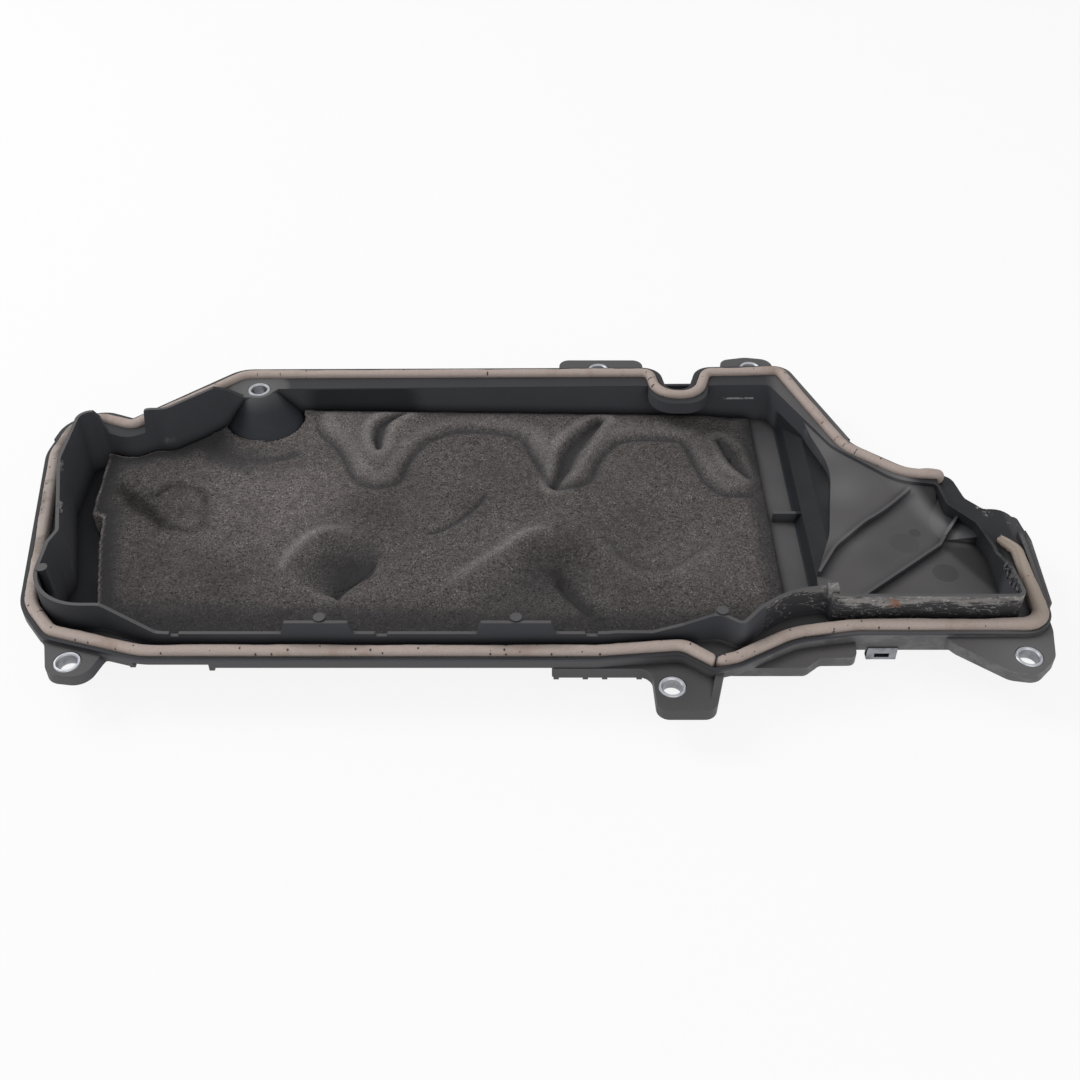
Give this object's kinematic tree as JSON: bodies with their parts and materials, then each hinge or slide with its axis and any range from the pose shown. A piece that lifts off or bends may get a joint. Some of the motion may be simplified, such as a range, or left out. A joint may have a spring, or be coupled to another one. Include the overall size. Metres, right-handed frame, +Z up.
{
  "type": "engine cover",
  "caption": "Black moulded plastic engine cover lying open side up, a shallow tray with a foam lining, a seal along its rim and sleeved bolt lugs.",
  "frame": {"origin": "centre of the bounding box in plan, on the plane it lies on", "axes": "+Z up out of the open side, +X along its length to the narrow end, +Y to the back edge with the notch"},
  "size_m": [0.5182, 0.2818, 0.043],
  "materials": {
    "black_plastic": "moulded, dull, dusty on its upper faces",
    "felted_foam": "felted, speckled",
    "seal_foam": "pale closed-cell foam rubber, stained",
    "zinc_steel": "zinc plated",
    "clip_steel": "zinc plated sheet"
  },
  "bodies": {
    "root": {"cover_shell": "black_plastic", "edge_clip": "clip_steel", "foam_pad": "felted_foam", "rim_seal_main": "seal_foam", "rim_seal_right": "seal_foam", "sleeve_back_left": "zinc_steel", "sleeve_back_middle": "zinc_steel", "sleeve_back_right": "zinc_steel", "sleeve_front_left": "zinc_steel", "sleeve_front_middle": "zinc_steel", "sleeve_front_right": "zinc_steel"}
  },
  "joints": []
}
